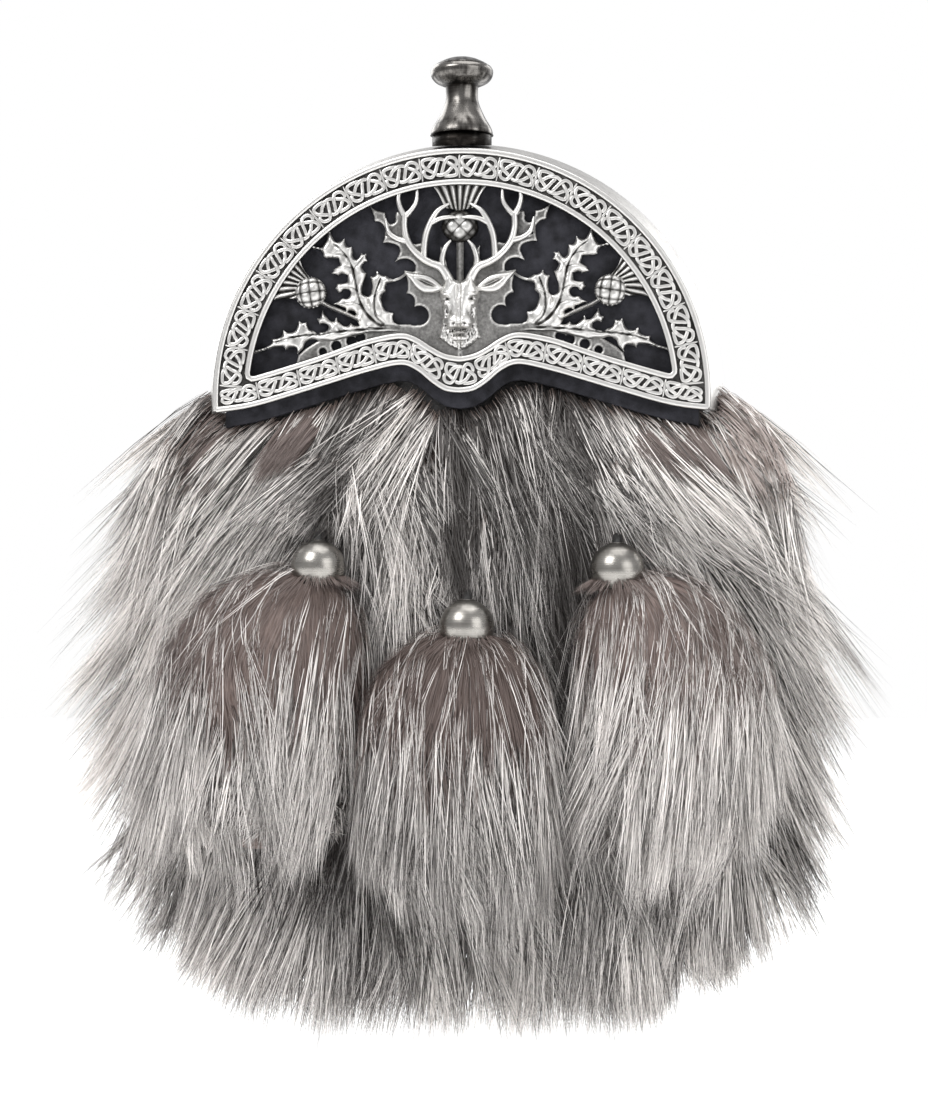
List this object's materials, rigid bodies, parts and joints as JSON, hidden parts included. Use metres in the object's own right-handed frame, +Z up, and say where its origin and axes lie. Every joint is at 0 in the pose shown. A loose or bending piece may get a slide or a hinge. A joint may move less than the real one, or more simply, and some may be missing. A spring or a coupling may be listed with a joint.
{
  "type": "sporran pouch",
  "caption": "Dress sporran pouch with a cast half-moon cantle, a turned knob, a deep fur front over a leather pouch and ball-capped fur tassels.",
  "frame": {"origin": "midway between the two strap staples on the back, on the centre plane of the strap that they hold", "axes": "+Z up towards the knob, -Y to the front where the ornament faces, +X to the right seen from the front"},
  "size_m": [0.232, 0.0845, 0.2827],
  "materials": {
    "pewter": "antique pewter, bright on the high spots and dark grey in the recesses",
    "dark_pewter": "darkened satin pewter",
    "black_leather": "matte black leather, slightly suede-like",
    "silver_fur": "long silver-tipped fur, grey to white ends over brown and near-black roots"
  },
  "bodies": {
    "root": {"cantle": "pewter", "cantle_backing": "black_leather", "knob": "dark_pewter", "knob_collar": "dark_pewter", "pouch": "black_leather", "back_yoke": "black_leather", "back_panel": "black_leather", "strap_staple_left": "pewter", "strap_staple_right": "pewter", "fur_pelt": "silver_fur", "tassel_left_fur": "silver_fur", "tassel_centre_fur": "silver_fur", "tassel_right_fur": "silver_fur", "tassel_left_cap": "dark_pewter", "tassel_centre_cap": "dark_pewter", "tassel_right_cap": "dark_pewter", "tassel_left_thong": "black_leather", "tassel_centre_thong": "black_leather", "tassel_right_thong": "black_leather"}
  },
  "joints": []
}
